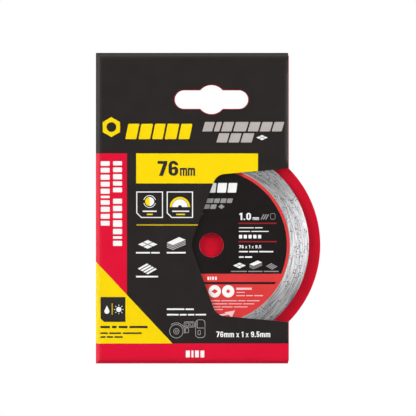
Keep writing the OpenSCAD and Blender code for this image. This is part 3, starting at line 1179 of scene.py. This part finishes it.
GLYPHS = {
    "0": [bar(0, 6, 0, 10, 0, 2.9), bar(2.15, 3.85, 2, 8, 0, 0.84)],
    "1": [[(1.4, 0), (3.7, 0), (3.7, 10), (2.1, 10), (0, 8.8), (0, 6.7), (1.4, 7.4)]],
    "5": [FIVE],
    "6": [SIX, SIX_HOLE],
    "7": [[(0.9, 0), (3.3, 0), (6, 8.3), (6, 10), (0, 10), (0, 8.0), (3.5, 8.0)]],
    "9": [[(6 - x, 10 - z) for x, z in loop] for loop in (SIX, SIX_HOLE)],
    "x": [CROSS],
    ".": [bar(0, 2, 0, 2)],
    "m": [UNIT],
}


def digits(line, x0, x1, z0, z1, gap=0.75):
    """Digits that fill a box."""
    loops = []
    at = 0.0
    for sign in line:
        if sign == " ":
            at += SPACE
        else:
            loops += [[(at + x, z) for x, z in loop] for loop in GLYPHS[sign]]
            at += max(x for x, z in GLYPHS[sign][0]) + gap
    wide, high = (x1 - x0) / (at - gap), (z1 - z0) / 10
    return [[(x0 + x * wide, z0 + z * high) for x, z in loop] for loop in loops]


print(len(GLYPHS), "signs drawn")

# %% [markdown]
# `inked` fills the outlines, gives them a hair of thickness, and stands the flat result up on its piece. A
# curve fills its own outlines, which saves drawing faces. It must become a mesh before its place is applied.

# %% A helper for ink
INK = 0.02


def inked(name, body, ink, y, loops):
    """All marks of one ink on one piece. Its middle lies at y, and the marks face the front or the back."""
    curve = bpy.data.curves.new(name, "CURVE")
    curve.dimensions = "2D"
    curve.fill_mode = "BOTH"
    curve.extrude = INK / 2
    for loop in loops:
        spline = curve.splines.new("POLY")
        spline.points.add(len(loop) - 1)
        for point, (x, z) in zip(spline.points, loop):
            point.co = (x, z, 0, 1)
        spline.use_cyclic_u = True
    piece = bpy.data.objects.new(name, curve)
    bpy.context.scene.collection.objects.link(piece)
    activate(piece)
    bpy.ops.object.convert(target="MESH")
    piece = bpy.context.object
    piece.scale = (MM, MM, MM)
    piece.rotation_euler = (math.radians(90), 0, 0)
    piece.location = (0, y, 0)
    bpy.ops.object.transform_apply(location=True, rotation=True, scale=True)
    activate(piece, "EDIT")
    bpy.ops.mesh.remove_doubles(threshold=0.0002 * MM)
    bpy.ops.mesh.normals_make_consistent(inside=False)
    bpy.ops.object.mode_set(mode="OBJECT")
    paint(piece, [ink])
    settle(piece, body)


print(f"ink is {INK} mm thick")

# %% [markdown]
# The same three tile signs stand on the front and, smaller, on the label: a square of four tiles, a stack of
# slabs with grey sides, and a row of strips. Each is drawn once round its own centre.

# %% Draw the tile signs
TILE = [rhombus(x, z, 1.74, 0.79) for x, z in ((-2.02, 0), (2.02, 0), (0, -0.92), (0, 0.92))]
SLAB_TOP = [[(-3.6, 0.2), (-1.28, -0.75), (3.65, 1.3), (1.14, 2.42)]]


def slab_side(depth, thick):
    """One layer of the stack's side, at a depth below the top."""
    edge = [(-3.6, 0.2), (-1.28, -0.75), (3.65, 1.3)]
    return [(x, z - depth) for x, z in edge] + [(x, z - depth - thick) for x, z in reversed(edge)]


SLAB_SIDES = [slab_side(0.28 + 0.62 * layer, 0.34) for layer in range(3)]
STRIPS = [
    [(x, z), (x + 0.72, z - 0.42), (x + 4.3, z + 1.6), (x + 3.6, z + 2.03)]
    for x, z in ((-3.45 + 1.06 * strip, -0.2 - 0.6 * strip) for strip in range(4))
]
print(len(TILE), len(SLAB_TOP) + len(SLAB_SIDES), len(STRIPS), "outlines in the three signs")

# %% [markdown]
# Some signs on the front are printed in more than one ink, or cut out of one and filled with another. Their
# places and outlines are set here once, so that the inks meet.

# %% Helpers for the front's signs
FRONT_INK_Y = FRONT - 0.006 * MM
LIFE_SIGN = (-24.1, 17.0)
BLADE_SIGN = (-12.3, 14.85)
SLABS_AT = (-13.75, 0.75)


def frame_box(x0, x1, z0, z1, width=0.38, notch=1.9):
    """A square frame with its lower left corner cut."""
    outer = [(x0 + notch, z0), (x1, z0), (x1, z1), (x0, z1), (x0, z0 + notch)]
    x2, x3, z2, z3 = x0 + width, x1 - width, z0 + width, z1 - width
    corner = notch - width * 0.6
    return [outer, [(x2 + corner, z2), (x3, z2), (x3, z3), (x2, z3), (x2, z2 + corner)]]


def sun(x, z):
    """A sun: a disc with eight rays."""
    made = [disc(x, z, 1.0)]
    for ray in range(8):
        angle = math.radians(45 * ray)
        foot = turned_point(x, z, angle, 1.35)
        tip = turned_point(x, z, angle, 1.9)
        left, right = angle + math.radians(90), angle - math.radians(90)
        ends = ((foot, right), (tip, right), (tip, left), (foot, left))
        made.append([turned_point(*end, side, 0.1) for end, side in ends])
    return made


def drop(x, z):
    """A water drop."""
    return arc(x, z, 1.0, -205, 25, 20) + [(x + 0.42, z + 1.3), (x, z + 2.2), (x - 0.42, z + 1.3)]


WET_AND_DRY = [drop(-40.75, -25.75)] + sun(-36.1, -25.05)
WET_DRY_RULE = bar(-38.9, -38.45, -27.1, -22.7)
print(len(WET_AND_DRY), "outlines in the wet and dry sign")

# %% [markdown]
# The front's white print comes first: frames round two signs, the tile signs with their captions, upright
# and level word places as plain blocks, and short lines of small text as bars.

# %% Print the front in white
WORD_GAP = 0.78
CLASS_BLOCKS = (1, 0.5, 0.95, 0.95)
white = frame_box(-29.3, -18.9, 10.6, 20.9) + frame_box(-17.45, -7.2, 10.6, 20.9)
white += [arc(*LIFE_SIGN, 1.75, -90, 90)]
white += [band(*LIFE_SIGN, 2.45, 2.2, start, start + 150) for start in (15, 195)]
white += [arc(*BLADE_SIGN, 3.05, 0, 180) + arc(*BLADE_SIGN, 0.75, 180, 0, 12)]
for x0, x1 in ((-26.8, -21.4), (-15.3, -8.7)):
    white += text_line(x0, x1, 13.2, (1,), 0.5)
white += moved(TILE, -24.85, 0.3) + text_line(-29.4, -20.2, -2.95, (5.3, 3.2), 0.62)
white += moved(SLAB_TOP, *SLABS_AT) + text_line(-17.45, -10.1, -2.95, (1,), 0.62)
white += moved(STRIPS, -25.3, -8.95) + text_line(-29.4, -20.8, -12.25, (1,), 0.62)
for start, end, low, high, widths in (
    (7.6, 32.7, 39.65, 43.15, (1, 1, 1.05, 0.95, 0.5, 1.05, 1, 1.05, 1, 0.95)),
    (-0.3, 18.1, 34.85, 38.35, (1, 0.5, 1.05, 1.3, 1, 1.05, 1)),
    (20.6, 32.7, 34.85, 38.35, (1, 0.9, 1.1, 1, 0.9)),
):
    white += upright(row(start, end, low, high, widths, WORD_GAP, 0, 0.25))
white += row(-10.0, -2.8, -43.75, -41.05, CLASS_BLOCKS, 0.6, 0, 0.2)
white += text_line(-17.4, -6.9, -24.95, (5.6, 2.6), 0.62)
white += text_line(-17.4, -2.1, -27.1, (4, 2.3, 2.2, 3.6), 0.62)
white += WET_AND_DRY
white += digits("76mm x 1 x 9.5mm", 1.9, 22.9, -35.85, -33.6, 1.2)
inked("print_white", "sleeve", ink_white, FRONT_INK_Y, white)

# %% [markdown]
# The other inks follow. A hexagon with a hole and slanted blocks fill the place of a maker's sign, and
# silver blocks that of a range's name.

# %% Print the front in yellow, silver and gold
NAME_BLOCKS = (1, 1.05, 0.95, 1.05, 1)
RANGE_BLOCKS = (1, 0.55, 1.05, 1.3, 1.05, 1.05, 1)
RANGE_BLOCKS_BELOW = (1, 1, 1.05)
yellow = [arc(-39.0, 46.0, 3.9, 30, 330, 5), disc(-39.0, 46.0, 1.9)]
yellow += row(-33.6, -8.6, 41.3, 47.3, NAME_BLOCKS, 0.8, 1.2, 0.4)
yellow += [arc(*LIFE_SIGN, 1.75, 90, 270), band(*BLADE_SIGN, 3.95, 3.2, 0, 180)]
yellow += text_line(-25.2, -22.9, 12.0, (1,), 0.5) + text_line(-13.7, -10.3, 12.0, (1,), 0.5)
inked("print_yellow", "sleeve", ink_yellow, FRONT_INK_Y, yellow)

silver = row(-3.6, 27.3, 44.3, 48.0, RANGE_BLOCKS, 0.7, 1.1, 0.3)
silver += row(1.9, 15.6, 40.0, 43.6, RANGE_BLOCKS_BELOW, 0.7, 1.1, 0.3) + moved(SLAB_SIDES, *SLABS_AT)
inked("print_silver", "sleeve", ink_silver, FRONT_INK_Y, silver)
inked("print_rhombus", "sleeve", ink_white, FRONT_INK_Y, moved(TILE, 19.7, 41.9, 0.6))

inked("print_gold", "sleeve", ink_gold, FRONT_INK_Y, [bar(-29.2, -5.3, 7.6, 8.15), WET_DRY_RULE])

# %% [markdown]
# Near black ink stands on the yellow: the blade's size, the small text, and a dark panel with the wet and
# dry sign left open in it for the white and the gold.

# %% Print the front in near black
dark = [[(-41.9, -29.9), (-33.5, -29.9), (-33.5, -20.2), (-43.2, -20.2), (-43.2, -28.5)]]
dark += WET_AND_DRY + [WET_DRY_RULE]
dark += text_line(-43.2, -24.9, -31.9, (3.2, 1.6, 3.0, 6.2), 0.85, 0.8)
dark += text_line(-43.2, -27.2, -34.3, (2.4, 4, 6.4), 0.6, 0.6)
dark += text_line(-43.2, -34.6, -35.8, (2, 2.6, 3.4), 0.6)
dark += digits("76", -21.0, -12.95, 27.0, 32.8) + digits("mm", -12.3, -6.4, 27.0, 31.3)
inked("print_dark", "sleeve", ink_dark, FRONT_INK_Y, dark)

# %% [markdown]
# A small line drawing shows the kind of tool the blade fits. It is drawn here from rings and rounded boxes,
# as a sign and not as anyone's machine.

# %% Draw the tool sign


def outline(x0, x1, z0, z1, width, soft):
    """A rounded box as a thin line."""
    inner = bar(x0 + width, x1 - width, z0 + width, z1 - width, 0, soft - width)
    return [bar(x0, x1, z0, z1, 0, soft), inner]


WHEEL = (-3.95, -1.05)
THIN = 0.15
tool = []
for radius in (2.7, 1.15, 0.5):
    tool += [disc(*WHEEL, radius), disc(*WHEEL, radius - THIN)]
tool += [band(*WHEEL, 3.35, 3.2, -15, 130)]
tool += outline(-1.0, 3.3, 0.5, 2.7, THIN, 0.7) + outline(3.5, 7.3, -3.6, 3.5, THIN, 1.3)
tool += outline(-0.3, 1.0, 0.95, 2.25, 0.13, 0.3) + outline(1.3, 2.6, 0.95, 2.25, 0.13, 0.3)
tool += outline(-0.5, 0.9, -1.7, 0.3, 0.13, 0.4) + outline(4.4, 5.5, -2.5, -0.6, 0.13, 0.5)
tool += [bar(4.1, 4.25, 0.3, 3.2), bar(4.1, 6.9, 0.15, 0.3)]
inked("print_tool", "sleeve", ink_line, FRONT_INK_Y, moved(tool, -9.75, -32.5))

# %% [markdown]
# The label has its own print. Half of it is under the sleeve until the tray is pulled out, so each word
# place is drawn whole. The blade's thickness and size are given in digits, and an arrow shows which way it
# turns.

# %% Print the label in white and grey
LABEL_INK_Y = label_low.y - 0.004 * MM
EVEN_BLOCKS = (1, 1, 1, 1, 1)
white = row(-9.8, 9.6, 20.45, 24.25, NAME_BLOCKS, 0.6, 0.5, 0.3)
white += digits("1.0", 10.9, 15.4, 9.8, 12.6, 1.5) + digits("mm", 16.05, 18.5, 9.8, 11.3)
white += text_line(10.7, 19.9, 6.75, (5, 2.6), 0.36) + text_line(10.7, 22.3, 5.35, (3.6, 5.6), 0.36)
white += row(10.7, 19.4, 2.6, 4.0, EVEN_BLOCKS, 0.6, 0, 0.15)
white += digits("76 x 1 x 9.5", 10.7, 19.4, -1.25, 0, 1.5)
white += text_line(10.7, 24.1, -2.55, (3.2, 3.2, 5), 0.55) + text_line(10.7, 15.8, -4.65, (2, 3), 0.55)
white += moved(TILE, 10.9, -7.95, 0.66) + moved(SLAB_TOP, 17.25, -7.6, 0.68)
white += row(-1.6, 2.1, -13.6, -12.3, CLASS_BLOCKS, 0.35, 0, 0.12)
for line in range(4):
    start, end = -24.5 + line * 0.2, -10.0 - (line * 5) % 3
    white += text_line(start, end, 8.8 - 1.9 * line, (4, 3, 5, 4)[line % 2 :], 0.4)
white += row(-24.6, -15.0, -1.6, 0.0, EVEN_BLOCKS, 0.6, 0, 0.15)
white += text_line(-24.4, -10.0, -4.2, (3, 5, 4), 0.4) + text_line(-23.8, -12.0, -6.1, (5, 4), 0.4)
white += [disc(1.25, -18.0, 2.4), rhombus(1.25, -18.0, 1.3, 0.9)]
white += [disc(6.5, -18.0, 2.4), disc(6.5, -18.0, 0.7)]
inked("label_white", "blade", ink_white, LABEL_INK_Y, white)

grey = row(-8.7, 7.9, 16.45, 18.2, RANGE_BLOCKS, 0.4, 0.5, 0.2)
grey += row(-5.6, 1.6, 14.15, 15.85, RANGE_BLOCKS_BELOW, 0.4, 0.5, 0.2) + [rhombus(3.9, 15.0, 1.25, 0.95)]
grey += moved(SLAB_SIDES, 17.25, -7.6, 0.68) + moved(STRIPS, 23.3, -8.1, 0.6)
grey += text_line(7.6, 26.2, -10.25, (6.2, 5.6, 5.8), 0.4)
grey += [bar(x, x + 0.5, 10.0, 12.0, 1.1) for x in (19.1, 20.0, 20.9)]
grey += outline(22.9, 24.9, 10.0, 12.4, 0.16, 0.6)
inked("label_grey", "blade", ink_grey, LABEL_INK_Y, grey)

# %% [markdown]
# The red segment carries its text in a pale tint, with the arrow under it. Dark red rules part the black
# field, and a black stripe crosses the segment near its top.

# %% Print the label in pale, red and black
pale = [bar(9.7, 15.7, -17.4, -16.6)] + text_line(9.8, 13.0, -18.45, (1,), 0.3)
pale += text_line(9.7, 20.0, -19.7, (3, 2.4, 3), 0.34) + text_line(-9.5, 18.7, -21.7, (3, 5, 4, 6, 3, 5), 0.3)
pale += text_line(-8.5, 16.6, -22.9, (4, 3, 6, 5, 4), 0.3) + text_line(-6.5, 14.0, -24.1, (3, 6, 4, 5), 0.3)
pale += text_line(-2.0, 4.4, -25.1, (1,), 0.3)
pale += [arc(0, 0, 27.9, 245, 284) + [(7.9, -28.2), (9.15, -25.5), (5.0, -26.2)] + arc(0, 0, 27.2, 282, 245)]
inked("label_pale", "blade", ink_pale, LABEL_INK_Y, pale)

red = [bar(10.5, 25.4, 8.25, 8.75), bar(10.5, 25.4, 1.1, 1.6), bar(-25.0, -3.2, 12.0, 12.5)]
inked("label_lines", "blade", label_dark_red, LABEL_INK_Y, red)
stripe = [(-25.0, -15.2), (24.6, -15.2), (25.2, -14.4), (-25.5, -14.4)]
inked("label_stripe", "blade", label_black, LABEL_INK_Y, [stripe])

# %% [markdown]
# The back's print is kept plain: a heading, lines of text as bars, a frame for a table of sizes, and a bar
# code's block of dark lines, whose widths are drawn by the same dice as the grit. Seen from behind, left and
# right change places, so a line of text starts at a high x.

# %% Print the back
BACK_INK_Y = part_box("back_panel")[1].y + 0.006 * MM
BACK_LEFT = 22.0
BACK_RIGHT = -36.0
CODE_END = -15.6
back_white = row(BACK_RIGHT, BACK_LEFT, 44.4, 46.6, (4, 6, 3, 5), 1.6, 0, 0.3)
for line in range(7):
    end = BACK_RIGHT + (line * 7) % 11
    back_white += text_line(end, BACK_LEFT, 37.1 - 3.1 * line, (4, 6, 3, 5, 4, 7)[line % 3 :], 0.7, 1.1)
back_white += [bar(BACK_RIGHT, BACK_LEFT, -24.5, 10.5), bar(BACK_RIGHT + 0.4, BACK_LEFT - 0.4, -24.1, 10.1)]
for line in range(5):
    back_white += text_line(BACK_RIGHT + 2, BACK_LEFT - 2, 6.2 - 6.1 * line, (12, 11, 22), 0.9, 4)
back_white += text_line(-9.0, BACK_LEFT, -29.5, (5, 3, 6), 0.7, 1.1)
back_white += text_line(-5.0, BACK_LEFT, -32.6, (4, 6), 0.7, 1.1)
back_white += [bar(BACK_RIGHT, -14.0, -35.2, -27.0)]
inked("print_back", "sleeve", ink_white, BACK_INK_Y, back_white)

code = []
at = BACK_RIGHT + 1.2
while at < CODE_END:
    thick = dice.choice((0.22, 0.22, 0.44, 0.66))
    code.append(bar(at, at + thick, -34.3, -27.9))
    at += thick + dice.choice((0.3, 0.3, 0.55, 0.8))
inked("print_code", "sleeve", ink_dark, BACK_INK_Y + INK * MM, code)
